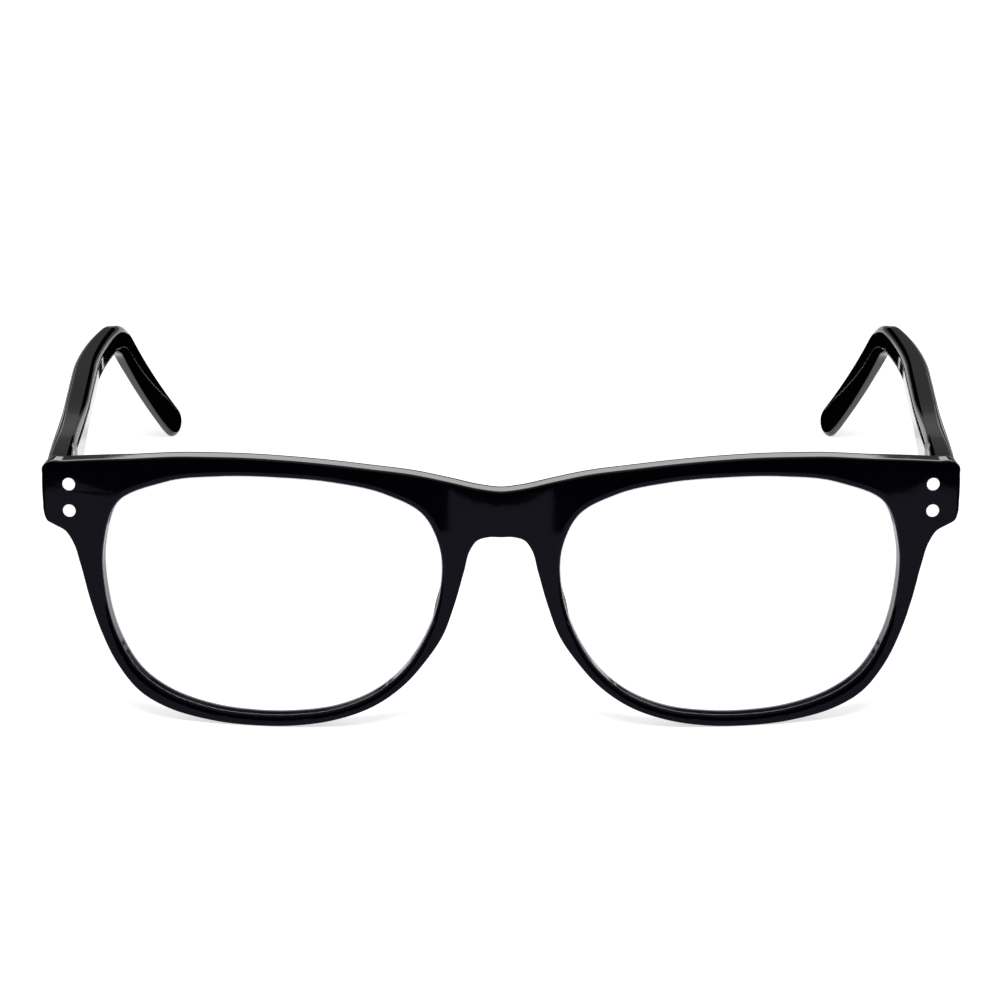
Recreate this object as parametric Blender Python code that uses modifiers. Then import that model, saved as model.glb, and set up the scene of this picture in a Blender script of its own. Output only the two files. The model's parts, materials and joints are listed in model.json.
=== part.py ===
"""Eyeglasses: a glossy acetate front with two lenses and two folding temples.

The model is built with the temples running straight back along +Y and the
front standing across them, and is then set down on its rim bottoms and temple
tips.  +X is the wearer's left, -Y is the way the wearer looks, +Z is up.
"""

import math

import bmesh
import bpy
from mathutils import Matrix, Vector

MM = 0.001

# Front: one plate of acetate, cut flat and then bent to its face form.
FRONT_WIDTH = 141.0 * MM
FRONT_HEIGHT = 43.0 * MM
FRONT_THICKNESS = 3.2 * MM
FRONT_EDGE = 0.45 * MM
FACE_FORM_RADIUS = 330.0 * MM
FACE_FORM_HALF_SPAN = 0.4113 * FRONT_WIDTH
RIM_CROWN_RADIUS = 200.0 * MM
RIM_CROWN_CENTRE = 0.465 * FRONT_HEIGHT
RIM_CROWN_FADE = (0.3404 * FRONT_WIDTH, FACE_FORM_HALF_SPAN)
BEND_STEP = 8.0 * MM
PANTOSCOPIC_TILT = math.radians(3.0)

# Lenses: their V edge sits in a groove half way through the front.
LENS_THICKNESS = 2.0 * MM
LENS_BEVEL = 0.9 * MM
LENS_SEAT = 0.5 * MM
LENS_CLEARANCE = 0.08 * MM

# Nose pads, bonded to the back of the rims.
PAD_LENGTH = 12.0 * MM
PAD_WIDTH = 2.6 * MM
PAD_DEPTH = 3.0 * MM
PAD_CENTRE = (0.0617 * FRONT_WIDTH, 0.472 * FRONT_HEIGHT)
PAD_SLANT = math.radians(14.0)
BOND_GAP = 0.05 * MM

# Hinges: five knuckles on a slotted screw, with both leaves let in flush.
HINGE_PLACE = 0.4596 * FRONT_WIDTH
HINGE_HEIGHT = 0.8372 * FRONT_HEIGHT
KNUCKLE_COUNT = 5
KNUCKLE_LENGTH = 1.5 * MM
KNUCKLE_GAP = 0.08 * MM
KNUCKLE_RADIUS = 1.6 * MM
KNUCKLE_SWING_ROOM = 0.3 * MM
HINGE_STAND_OFF = KNUCKLE_RADIUS + KNUCKLE_SWING_ROOM
LEAF_THICKNESS = 0.8 * MM
FRONT_LEAF_REACH = (-2.4 * MM, 3.5 * MM)
TEMPLE_LEAF_REACH = (-1.0 * MM, 10.0 * MM)
WEB_HALF_WIDTH = 1.2 * MM
LET_IN_CLEARANCE = 0.06 * MM
SCREW_RADIUS = 0.7 * MM
SCREW_HEAD_RADIUS = 1.25 * MM
SCREW_HEAD_HEIGHT = 0.6 * MM
SCREW_SLOT = 0.35 * MM
RUNNING_CLEARANCE = 0.05 * MM

# Rivets: a round head on the outside, with the shank through the leaf.
RIVET_SHANK_RADIUS = 0.6 * MM
RIVET_HEAD_RADIUS = 1.0 * MM
RIVET_HEAD_DEPTH = 0.7 * MM
RIVET_PROUD = 0.12 * MM
RIVET_CLEARANCE = 0.04 * MM
RIVET_CUT_MARGIN = 1.0 * MM
FRONT_RIVET_OUTSET = 1.45 * MM
FRONT_RIVET_RISES = (2.1 * MM, -2.15 * MM)
TEMPLE_RIVET_SETBACK = 7.0 * MM
TEMPLE_RIVET_RISE = 2.4 * MM

# Temples: a slab that runs straight back, bends down behind the ear and
# turns in towards its tip.
TEMPLE_THICKNESS = 4.1 * MM
TEMPLE_TIP_THICKNESS = 2.4 * MM
TEMPLE_EDGE = 0.7 * MM
TEMPLE_STRAIGHT = 90.9 * MM
TEMPLE_BEND_RADIUS = 15.0 * MM
TEMPLE_BEND_ANGLE = math.radians(41.7)
TEMPLE_TIP_LENGTH = 27.6 * MM
TEMPLE_FRONT_HEIGHT = 9.4 * MM
TEMPLE_WAIST_HEIGHT = 4.6 * MM
TEMPLE_TIP_HEIGHT = 4.6 * MM
TEMPLE_TAPER_LENGTH = 45.0 * MM
TEMPLE_SPLAY = math.radians(0.35)
TIP_TURN_IN = 11.6 * MM
TIP_TURN_START = 66.0 * MM
BUTT_GAP = 0.12 * MM

# Core wires inside the temples.
CORE_RADIUS = 0.65 * MM
CORE_CLEARANCE = 0.06 * MM
CORE_START = 3.0 * MM
CORE_END_MARGIN = 7.0 * MM

ROUND = 16
WELD = 0.001 * MM

# The wearer's left half of the outline, from the middle of the brow round to
# the nose arch, in millimetres from the middle and up from the bottom of the
# rims.  The arch's top closes it.
OUTLINE_WIDTH = 141.0
OUTLINE_HEIGHT = 42.8
ARCH_TOP = (0.0, 31.4)
OUTLINE = [
    (0.0, 38.4), (3.1, 38.75), (7.7, 39.75), (13.0, 40.8), (20.0, 41.6), (30.0, 42.45),
    (40.0, 42.8), (48.0, 42.65), (56.0, 42.35), (63.0, 41.8), (67.5, 41.35), (69.6, 41.15),
    (70.4, 40.5), (70.5, 39.0), (70.45, 35.0), (70.3, 33.0), (69.85, 31.85), (68.9, 31.3),
    (67.0, 30.3), (65.85, 28.55), (64.8, 25.2), (63.4, 19.6), (61.7, 14.4), (59.2, 9.2),
    (55.8, 5.0), (51.0, 2.15), (45.0, 0.6), (38.0, 0.0), (31.5, 0.25), (25.5, 1.4),
    (19.6, 3.8), (14.6, 7.7), (11.5, 11.5), (9.0, 15.4), (7.1, 20.6), (5.6, 26.0),
    (4.6, 29.5), (3.6, 30.85), (1.9, 31.4),
]

# The wearer's left lens opening, anticlockwise from its nasal side.
OPENING = [
    (9.35, 22.4), (11.4, 15.6), (14.8, 9.95), (19.4, 5.8), (25.2, 3.1), (32.0, 1.9),
    (38.5, 1.75), (45.0, 2.5), (51.0, 4.5), (55.8, 8.0), (59.2, 13.6), (61.0, 20.6),
    (61.2, 28.2), (58.8, 35.3), (51.6, 38.6), (43.0, 39.8), (34.0, 39.95), (25.5, 39.4),
    (17.6, 37.75), (11.9, 34.7), (9.35, 29.4),
]


def clear_scene():
    for thing in list(bpy.data.objects):
        bpy.data.objects.remove(thing, do_unlink=True)


def make_collection(name):
    group = bpy.data.collections.new(name)
    bpy.context.scene.collection.children.link(group)
    return group


def make_material(name, colour, roughness, metallic=0.0):
    material = bpy.data.materials.new(name)
    material.use_nodes = True
    shader = material.node_tree.nodes["Principled BSDF"]
    shader.inputs["Base Color"].default_value = (*colour, 1.0)
    shader.inputs["Roughness"].default_value = roughness
    shader.inputs["Metallic"].default_value = metallic
    return material


def smooth_loop(points, steps):
    """Points on a closed curve through the given points, spaced by chord length."""
    count = len(points)
    knots = [Vector(point) for point in points]
    chords = [(knots[(i + 1) % count] - knots[i]).length for i in range(count)]
    tangents = []
    for i in range(count):
        before, after = chords[i - 1], chords[i]
        slope_before = (knots[i] - knots[i - 1]) / before
        slope_after = (knots[(i + 1) % count] - knots[i]) / after
        tangents.append((slope_before * after + slope_after * before) / (before + after))
    result = []
    for i in range(count):
        start, end = knots[i], knots[(i + 1) % count]
        for step in range(steps):
            t = step / steps
            blend = t * t * (3 - 2 * t)
            pull_start = tangents[i] * (t * (1 - t) ** 2 * chords[i])
            pull_end = tangents[(i + 1) % count] * (t * t * (1 - t) * chords[i])
            result.append(start.lerp(end, blend) + pull_start - pull_end)
    return result


def stretched(points):
    """Outline points in metres, stretched to the front's driving width and height."""
    wide = FRONT_WIDTH / OUTLINE_WIDTH
    tall = FRONT_HEIGHT / OUTLINE_HEIGHT
    return [(x * wide, y * tall) for x, y in points]


def front_loop():
    left = stretched(OUTLINE)
    right = [(-x, y) for x, y in reversed(left) if x > 0]
    return smooth_loop(left + stretched([ARCH_TOP]) + right, 2)


def opening_loop():
    return smooth_loop(stretched(OPENING), 2)


def evaluated_mesh(thing):
    depsgraph = bpy.context.evaluated_depsgraph_get()
    return bpy.data.meshes.new_from_object(thing.evaluated_get(depsgraph))


def edited(mesh, work):
    """Run one bmesh function over a mesh and close it again."""
    bm = bmesh.new()
    bm.from_mesh(mesh)
    work(bm)
    bmesh.ops.recalc_face_normals(bm, faces=bm.faces)
    bm.to_mesh(mesh)
    bm.free()
    return mesh


def flat_plate(loops, thickness, edge, spread=0.0):
    """A plate in X and Z, centred on Y = 0, with its edges taken off at 45 degrees."""
    curve = bpy.data.curves.new("outline", "CURVE")
    curve.dimensions = "2D"
    curve.fill_mode = "BOTH"
    curve.extrude = thickness / 2 - edge
    curve.bevel_depth = edge
    curve.bevel_resolution = 0
    curve.offset = spread - edge
    for loop in loops:
        spline = curve.splines.new("POLY")
        spline.points.add(len(loop) - 1)
        for point, place in zip(spline.points, loop):
            point.co = (place[0], place[1], 0.0, 1.0)
        spline.use_cyclic_u = True
    holder = bpy.data.objects.new("outline", curve)
    SCRATCH.objects.link(holder)
    mesh = evaluated_mesh(holder)
    bpy.data.objects.remove(holder)
    bpy.data.curves.remove(curve)
    mesh.transform(Matrix.Rotation(math.radians(90), 4, "X"))

    def weld(bm):
        bmesh.ops.remove_doubles(bm, verts=bm.verts, dist=WELD)

    return edited(mesh, weld)


def box(low, high):
    bm = bmesh.new()
    bmesh.ops.create_cube(bm, size=1.0)
    low, high = Vector(low), Vector(high)
    bmesh.ops.scale(bm, verts=bm.verts, vec=high - low)
    bmesh.ops.translate(bm, verts=bm.verts, vec=(low + high) / 2)
    mesh = bpy.data.meshes.new("box")
    bm.to_mesh(mesh)
    bm.free()
    return mesh


def turned(profile, place=(0, 0, 0), axis="Z"):
    """A solid of revolution: the profile runs (radius, height) from its top down."""
    mesh = bpy.data.meshes.new("profile")
    mesh.from_pydata([(r, 0, z) for r, z in profile], [(i, i + 1) for i in range(len(profile) - 1)], [])
    holder = bpy.data.objects.new("profile", mesh)
    SCRATCH.objects.link(holder)
    screw = holder.modifiers.new("turn", "SCREW")
    screw.steps = screw.render_steps = ROUND
    screw.use_merge_vertices = True
    screw.merge_threshold = WELD
    result = evaluated_mesh(holder)
    bpy.data.objects.remove(holder)
    if axis == "Y":
        result.transform(Matrix.Rotation(math.radians(90), 4, "X"))
    if axis == "X":
        result.transform(Matrix.Rotation(math.radians(90), 4, "Y"))
    result.transform(Matrix.Translation(place))

    def close(bm):
        bmesh.ops.remove_doubles(bm, verts=bm.verts, dist=WELD)

    return edited(result, close)


def cylinder(radius, low, high, place=(0, 0, 0), axis="Z"):
    return turned([(0, high), (radius, high), (radius, low), (0, low)], place, axis)


def combined(mesh, tool, operation="DIFFERENCE"):
    """The mesh with the tool cut from it or joined to it."""
    body = bpy.data.objects.new("body", mesh)
    cutter = bpy.data.objects.new("cutter", tool)
    cutter.hide_render = True
    cutter.display_type = "WIRE"
    SCRATCH.objects.link(body)
    SCRATCH.objects.link(cutter)
    boolean = body.modifiers.new("cut", "BOOLEAN")
    boolean.operation = operation
    boolean.object = cutter
    result = evaluated_mesh(body)
    bpy.data.objects.remove(body)
    bpy.data.objects.remove(cutter)
    return result


def joined(meshes):
    result = meshes[0]
    for mesh in meshes[1:]:
        result = combined(result, mesh, "UNION")
    return result


def mirrored(mesh):
    """The same piece for the wearer's right side."""
    copy = mesh.copy()
    copy.transform(Matrix.Scale(-1, 4, (1, 0, 0)))
    return edited(copy, lambda bm: None)


def wrap_angle():
    return FACE_FORM_HALF_SPAN / FACE_FORM_RADIUS


def bent_point(point):
    """Where a point of the flat front lies once the front has its face form."""
    across, depth, height = point
    start, end = RIM_CROWN_FADE
    fade = min(max((abs(across) - start) / (end - start), 0.0), 1.0)
    crown = (height - RIM_CROWN_CENTRE) ** 2 / (2 * RIM_CROWN_RADIUS)
    depth += crown * (1 - fade * fade * (3 - 2 * fade))
    angle = min(abs(across), FACE_FORM_HALF_SPAN) / FACE_FORM_RADIUS
    straight = max(abs(across) - FACE_FORM_HALF_SPAN, 0.0)
    radius = FACE_FORM_RADIUS - depth
    x = radius * math.sin(angle) + straight * math.cos(angle)
    y = FACE_FORM_RADIUS - radius * math.cos(angle) + straight * math.sin(angle)
    return Vector((math.copysign(x, across), y, height))


def slice_up(bm, axis, low, high, step):
    """Cut the mesh across, so that it can bend."""
    count = max(int(round((high - low) / step)), 1)
    for i in range(count + 1):
        place = Vector((0, 0, 0))
        place[axis] = low + (high - low) * i / count
        normal = Vector((0, 0, 0))
        normal[axis] = 1.0
        everything = bm.verts[:] + bm.edges[:] + bm.faces[:]
        bmesh.ops.bisect_plane(bm, geom=everything, plane_co=place, plane_no=normal, dist=WELD / 10)


def bent(mesh):
    """Give a flat piece of the front its face form."""
    def work(bm):
        bmesh.ops.dissolve_limit(bm, angle_limit=math.radians(0.5), verts=bm.verts, edges=bm.edges)
        slice_up(bm, 0, -FACE_FORM_HALF_SPAN, FACE_FORM_HALF_SPAN, BEND_STEP)
        slice_up(bm, 2, 0.0, FRONT_HEIGHT, BEND_STEP)
        for vert in bm.verts:
            vert.co = bent_point(vert.co)
        bmesh.ops.triangulate(bm, faces=bm.faces)

    return edited(mesh, work)


def stack_height():
    return KNUCKLE_COUNT * KNUCKLE_LENGTH + (KNUCKLE_COUNT - 1) * KNUCKLE_GAP


def leaf_half_height():
    return stack_height() / 2


def knuckle_span(index):
    low = -stack_height() / 2 + index * (KNUCKLE_LENGTH + KNUCKLE_GAP)
    return low, low + KNUCKLE_LENGTH


def make_front():
    """The acetate front with its grooves, leaf recesses and rivet holes."""
    opening = opening_loop()
    other = [Vector((-p.x, p.y)) for p in opening]
    plate = flat_plate([front_loop(), opening, other], FRONT_THICKNESS, FRONT_EDGE)
    plate.transform(Matrix.Translation((0, FRONT_THICKNESS / 2, 0)))
    for loop in (opening, other):
        groove = lens_blank(loop, LENS_CLEARANCE)
        plate = combined(plate, groove)
    for side in (-1, 1):
        low = (HINGE_PLACE + FRONT_LEAF_REACH[0] - LET_IN_CLEARANCE,
               FRONT_THICKNESS - LEAF_THICKNESS - LET_IN_CLEARANCE,
               HINGE_HEIGHT - leaf_half_height() - LET_IN_CLEARANCE)
        high = (HINGE_PLACE + FRONT_LEAF_REACH[1] + LET_IN_CLEARANCE,
                FRONT_THICKNESS * 2,
                HINGE_HEIGHT + leaf_half_height() + LET_IN_CLEARANCE)
        recess = box(low, high)
        plate = combined(plate, recess if side > 0 else mirrored(recess))
        for rise in FRONT_RIVET_RISES:
            hole = rivet_hole(FRONT_THICKNESS * 2)
            place = (HINGE_PLACE + FRONT_RIVET_OUTSET, 0, HINGE_HEIGHT + rise)
            hole.transform(Matrix.Translation(place))
            plate = combined(plate, hole if side > 0 else mirrored(hole))
    return bent(plate)


def lens_blank(loop, clearance=0.0):
    """A flat lens with its V edge, or the cutter for the groove it sits in."""
    blank = flat_plate([loop], LENS_THICKNESS + 2 * clearance, LENS_BEVEL, LENS_SEAT + clearance)
    blank.transform(Matrix.Translation((0, FRONT_THICKNESS / 2, 0)))
    return blank


def rivet(length):
    """A rivet along Y, its head towards -Y: the face it is set in lies at Y = 0."""
    head = RIVET_HEAD_RADIUS
    return turned([
        (0, RIVET_PROUD), (head * 0.6, RIVET_PROUD), (head * 0.88, RIVET_PROUD * 0.6), (head, 0),
        (head, -RIVET_HEAD_DEPTH), (RIVET_SHANK_RADIUS, -RIVET_HEAD_DEPTH),
        (RIVET_SHANK_RADIUS, -length), (0, -length),
    ], axis="Y")


def rivet_hole(length):
    """The cutter for a rivet's hole and the seat of its head."""
    head = RIVET_HEAD_RADIUS + RIVET_CLEARANCE
    shank = RIVET_SHANK_RADIUS + RIVET_CLEARANCE
    seat = -RIVET_HEAD_DEPTH - RIVET_CLEARANCE
    return turned([
        (0, RIVET_CUT_MARGIN), (head, RIVET_CUT_MARGIN), (head, seat), (shank, seat),
        (shank, -length), (0, -length),
    ], axis="Y")


def make_nose_pad():
    """A bonded pad behind the wearer's left nasal rim."""
    bm = bmesh.new()
    bmesh.ops.create_uvsphere(bm, u_segments=12, v_segments=9, radius=1.0)
    bmesh.ops.scale(bm, verts=bm.verts, vec=(PAD_WIDTH / 2, PAD_DEPTH, PAD_LENGTH / 2))
    geom = bm.verts[:] + bm.edges[:] + bm.faces[:]
    bmesh.ops.bisect_plane(bm, geom=geom, plane_co=(0, 0, 0), plane_no=(0, 1, 0), clear_inner=True,
                           dist=WELD / 10)
    bmesh.ops.holes_fill(bm, edges=bm.edges)
    bmesh.ops.rotate(bm, verts=bm.verts, matrix=Matrix.Rotation(-PAD_SLANT, 3, "Y"))
    place = (PAD_CENTRE[0], FRONT_THICKNESS + BOND_GAP, PAD_CENTRE[1])
    bmesh.ops.translate(bm, verts=bm.verts, vec=place)
    for vert in bm.verts:
        vert.co = bent_point(vert.co)
    bmesh.ops.triangulate(bm, faces=bm.faces)
    bmesh.ops.recalc_face_normals(bm, faces=bm.faces)
    mesh = bpy.data.meshes.new("nose_pad")
    bm.to_mesh(mesh)
    bm.free()
    return mesh


def knuckles(indices, web_low, web_high):
    """Knuckles round the Z axis, each with the web that ties it to its leaf."""
    result = []
    for index in indices:
        low, high = knuckle_span(index)
        barrel = cylinder(KNUCKLE_RADIUS, low, high)
        web = box((*web_low, low), (*web_high, high))
        result.append(joined([barrel, web]))
    return result


def bored(mesh):
    reach = stack_height()
    return combined(mesh, cylinder(SCREW_RADIUS + RUNNING_CLEARANCE, -reach, reach))


def make_front_leaf():
    """The hinge leaf on the endpiece, in the hinge's own frame."""
    half = leaf_half_height()
    plate = box((FRONT_LEAF_REACH[0], -HINGE_STAND_OFF - LEAF_THICKNESS, -half),
                (FRONT_LEAF_REACH[1], -HINGE_STAND_OFF, half))
    web_low = (-WEB_HALF_WIDTH, -HINGE_STAND_OFF - LEAF_THICKNESS / 2)
    web_high = (WEB_HALF_WIDTH, -KNUCKLE_RADIUS / 3)
    leaf = joined([plate] + knuckles(range(0, KNUCKLE_COUNT, 2), web_low, web_high))
    for rise in FRONT_RIVET_RISES:
        place = (FRONT_RIVET_OUTSET, 0, rise)
        radius = RIVET_SHANK_RADIUS + RIVET_CLEARANCE
        hole = cylinder(radius, HINGE_STAND_OFF, HINGE_STAND_OFF * 3, place, "Y")
        leaf = combined(leaf, hole)
    return bored(leaf)


def make_temple_leaf():
    """The hinge leaf on the temple, in the hinge's own frame."""
    half = leaf_half_height()
    plate = box((HINGE_STAND_OFF, TEMPLE_LEAF_REACH[0], -half),
                (HINGE_STAND_OFF + LEAF_THICKNESS, TEMPLE_LEAF_REACH[1], half))
    web_low = (KNUCKLE_RADIUS / 3, -WEB_HALF_WIDTH)
    web_high = (HINGE_STAND_OFF + LEAF_THICKNESS / 2, WEB_HALF_WIDTH)
    leaf = joined([plate] + knuckles(range(1, KNUCKLE_COUNT, 2), web_low, web_high))
    for rise in (-TEMPLE_RIVET_RISE, TEMPLE_RIVET_RISE):
        place = (0, TEMPLE_RIVET_SETBACK, rise)
        radius = RIVET_SHANK_RADIUS + RIVET_CLEARANCE
        hole = cylinder(radius, 0, HINGE_STAND_OFF * 3, place, "X")
        leaf = combined(leaf, hole)
    return bored(leaf)


def make_screw():
    """The slotted screw that is the hinge's pin."""
    top = stack_height() / 2 + RUNNING_CLEARANCE
    bottom = -stack_height() / 2
    head_top = top + SCREW_HEAD_HEIGHT
    profile = [
        (0, head_top), (SCREW_HEAD_RADIUS * 0.7, head_top),
        (SCREW_HEAD_RADIUS, head_top - SCREW_HEAD_HEIGHT / 2),
        (SCREW_HEAD_RADIUS, top), (SCREW_RADIUS, top), (SCREW_RADIUS, bottom), (0, bottom),
    ]
    screw = turned(profile)
    reach = SCREW_HEAD_RADIUS * 2
    slot = box((-reach, -SCREW_SLOT / 2, head_top - SCREW_HEAD_HEIGHT / 2),
               (reach, SCREW_SLOT / 2, head_top + SCREW_HEAD_HEIGHT))
    return combined(screw, slot)


def temple_end():
    """How far back and how far up the middle of the temple's tip lies."""
    after = TEMPLE_BEND_RADIUS * math.sin(TEMPLE_BEND_ANGLE)
    drop = TEMPLE_BEND_RADIUS * (1 - math.cos(TEMPLE_BEND_ANGLE))
    run = TEMPLE_STRAIGHT + after + TEMPLE_TIP_LENGTH * math.cos(TEMPLE_BEND_ANGLE)
    return run, -drop - TEMPLE_TIP_LENGTH * math.sin(TEMPLE_BEND_ANGLE)


def temple_line(distance):
    """The middle of the temple at a distance along it: place back, place up and slope."""
    if distance <= TEMPLE_STRAIGHT:
        return distance, 0.0, 0.0
    arc = TEMPLE_BEND_RADIUS * TEMPLE_BEND_ANGLE
    turn = min((distance - TEMPLE_STRAIGHT) / TEMPLE_BEND_RADIUS, TEMPLE_BEND_ANGLE)
    beyond = max(distance - TEMPLE_STRAIGHT - arc, 0.0)
    back = TEMPLE_STRAIGHT + TEMPLE_BEND_RADIUS * math.sin(turn) + beyond * math.cos(turn)
    up = -TEMPLE_BEND_RADIUS * (1 - math.cos(turn)) - beyond * math.sin(turn)
    return back, up, turn


def temple_length():
    return TEMPLE_STRAIGHT + TEMPLE_BEND_RADIUS * TEMPLE_BEND_ANGLE + TEMPLE_TIP_LENGTH


def temple_half_height(distance):
    def ease(value):
        value = min(max(value, 0.0), 1.0)
        return value * value * (3 - 2 * value)

    slim = ease(distance / TEMPLE_TAPER_LENGTH)
    tip = ease((distance - TEMPLE_STRAIGHT) / (temple_length() - TEMPLE_STRAIGHT))
    height = TEMPLE_FRONT_HEIGHT + (TEMPLE_WAIST_HEIGHT - TEMPLE_FRONT_HEIGHT) * slim
    return (height + (TEMPLE_TIP_HEIGHT - TEMPLE_WAIST_HEIGHT) * tip) / 2


def tip_share(back):
    """0 along the straight part of the temple, rising to 1 at the tip."""
    return max((back - TIP_TURN_START) / (temple_end()[0] - TIP_TURN_START), 0.0)


def turn_in(back):
    """How far inwards the temple's middle has moved at a place behind the hinge."""
    return TIP_TURN_IN * tip_share(back) ** 2 - math.tan(TEMPLE_SPLAY) * back


def slimming(back):
    """The temple's thickness at a place behind the hinge, as a share of its full one."""
    return 1 + (TEMPLE_TIP_THICKNESS / TEMPLE_THICKNESS - 1) * tip_share(back)


def temple_stations():
    """Distances along the temple that its outline and core are worked out at."""
    arc_end = TEMPLE_STRAIGHT + TEMPLE_BEND_RADIUS * TEMPLE_BEND_ANGLE
    taper = [TEMPLE_TAPER_LENGTH * i / 6 for i in range(1, 7)]
    bend = [TEMPLE_STRAIGHT + (arc_end - TEMPLE_STRAIGHT) * i / 6 for i in range(7)]
    tip = [arc_end + TEMPLE_TIP_LENGTH * i / 2 for i in range(1, 3)]
    return taper + bend + tip


def temple_outline():
    upper, lower = [], []
    start = -2 * HINGE_STAND_OFF
    for distance in [start, 0.0] + temple_stations():
        back, up, slope = temple_line(distance)
        half = temple_half_height(distance)
        upper.append(Vector((back + half * math.sin(slope), up + half * math.cos(slope))))
        lower.append(Vector((back - half * math.sin(slope), up - half * math.cos(slope))))
    back, up, slope = temple_line(temple_length())
    half = temple_half_height(temple_length())
    cap = []
    for i in range(1, 6):
        angle = math.radians(90 - 30 * i) - slope
        cap.append(Vector((back + half * math.cos(angle), up + half * math.sin(angle))))
    return upper + cap + lower[::-1]


def core_tube(radius, start, end):
    """A round wire along the temple's middle."""
    middle = HINGE_STAND_OFF + TEMPLE_THICKNESS / 2
    straight = [TIP_TURN_START, (TIP_TURN_START + TEMPLE_STRAIGHT) / 2]
    inner = straight + [d for d in temple_stations() if TEMPLE_STRAIGHT <= d < end]
    curve = bpy.data.curves.new("core", "CURVE")
    curve.dimensions = "3D"
    curve.bevel_depth = radius
    curve.bevel_resolution = 1
    curve.use_fill_caps = True
    spline = curve.splines.new("POLY")
    distances = [start] + inner + [end]
    spline.points.add(len(distances) - 1)
    for point, distance in zip(spline.points, distances):
        back, up, _ = temple_line(distance)
        point.co = (middle - turn_in(back), back, up, 1.0)
    holder = bpy.data.objects.new("core", curve)
    SCRATCH.objects.link(holder)
    mesh = evaluated_mesh(holder)
    bpy.data.objects.remove(holder)
    bpy.data.curves.remove(curve)

    def weld(bm):
        bmesh.ops.remove_doubles(bm, verts=bm.verts, dist=WELD)

    return edited(mesh, weld)


def make_temple():
    """The acetate temple in its own frame: +Y runs back along it from the hinge."""
    slab = flat_plate([temple_outline()], TEMPLE_THICKNESS, TEMPLE_EDGE)
    slab.transform(Matrix.Rotation(math.radians(90), 4, "Z"))
    slab.transform(Matrix.Translation((HINGE_STAND_OFF + TEMPLE_THICKNESS / 2, 0, 0)))

    def shape(bm):
        run = temple_end()[0]
        slice_up(bm, 1, TIP_TURN_START, run, BEND_STEP)
        middle = HINGE_STAND_OFF + TEMPLE_THICKNESS / 2
        for vert in bm.verts:
            back = vert.co.y
            vert.co.x = middle + (vert.co.x - middle) * slimming(back) - turn_in(back)
        geom = bm.verts[:] + bm.edges[:] + bm.faces[:]
        tilt = Matrix.Rotation(PANTOSCOPIC_TILT, 3, "X")
        normal = tilt @ Matrix.Rotation(wrap_angle(), 3, "Z") @ Vector((0, 1, 0))
        place = normal * (BUTT_GAP - HINGE_STAND_OFF)
        bmesh.ops.bisect_plane(bm, geom=geom, plane_co=place, plane_no=normal, clear_inner=True,
                               dist=WELD / 10)
        bmesh.ops.holes_fill(bm, edges=bm.edges)

    slab = edited(slab, shape)
    half = leaf_half_height() + LET_IN_CLEARANCE
    recess = box((-HINGE_STAND_OFF, -4 * HINGE_STAND_OFF, -half),
                 (HINGE_STAND_OFF + LEAF_THICKNESS + LET_IN_CLEARANCE,
                  TEMPLE_LEAF_REACH[1] + LET_IN_CLEARANCE, half))
    tilt = Matrix.Rotation(PANTOSCOPIC_TILT, 4, "X")
    recess.transform(tilt)
    slab = combined(slab, recess)
    for rise in (-TEMPLE_RIVET_RISE, TEMPLE_RIVET_RISE):
        hole = on_temple(rivet_hole(HINGE_STAND_OFF * 4), rise)
        hole.transform(tilt)
        slab = combined(slab, hole)
    bore = core_tube(CORE_RADIUS + CORE_CLEARANCE, -3 * HINGE_STAND_OFF,
                     temple_length() - CORE_END_MARGIN + CORE_CLEARANCE)
    slab = combined(slab, bore)
    return edited(slab, lambda bm: bmesh.ops.triangulate(bm, faces=bm.faces))


def on_temple(shape, rise):
    """A rivet or its hole, turned to face outwards at its place on the temple."""
    shape.transform(Matrix.Rotation(math.radians(90), 4, "Z"))
    outside = HINGE_STAND_OFF + TEMPLE_THICKNESS
    shape.transform(Matrix.Translation((outside, TEMPLE_RIVET_SETBACK, rise)))
    return shape


def add_empty(name, parent, place=(0, 0, 0), turn=(0, 0, 0)):
    empty = bpy.data.objects.new(name, None)
    PARTS.objects.link(empty)
    empty.empty_display_size = 5 * MM
    empty.parent = parent
    empty.location = place
    empty.rotation_euler = turn
    return empty


def add_part(name, mesh, parent, material):
    mesh.name = name
    mesh.materials.clear()
    mesh.materials.append(material)
    mesh.shade_smooth()
    mesh.set_sharp_from_angle(angle=math.radians(30))
    part = bpy.data.objects.new(name, mesh)
    PARTS.objects.link(part)
    part.parent = parent
    return part


def sided(mesh, side):
    return mesh.copy() if side > 0 else mirrored(mesh)


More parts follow.
